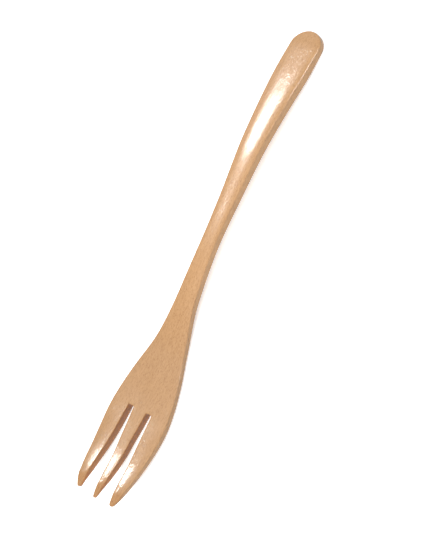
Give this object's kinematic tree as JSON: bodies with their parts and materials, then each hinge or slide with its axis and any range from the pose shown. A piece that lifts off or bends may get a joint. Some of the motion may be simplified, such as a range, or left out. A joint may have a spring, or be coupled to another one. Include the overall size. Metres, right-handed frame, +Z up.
{
  "type": "wooden table fork",
  "caption": "Wooden table fork with broad tapering tines, a narrow neck and a slender rounded handle, carved from one piece.",
  "frame": {"origin": "on the surface that the fork lies on, under the middle of its length and width", "axes": "+X across the tines, +Y along the fork from the tine tips to the handle end, +Z up out of the hollow face of the head"},
  "size_m": [0.0266, 0.19, 0.0106],
  "materials": {
    "wood": "pale close-grained hardwood, sanded smooth under a clear gloss varnish"
  },
  "bodies": {
    "root": {"fork": "wood"}
  },
  "joints": []
}
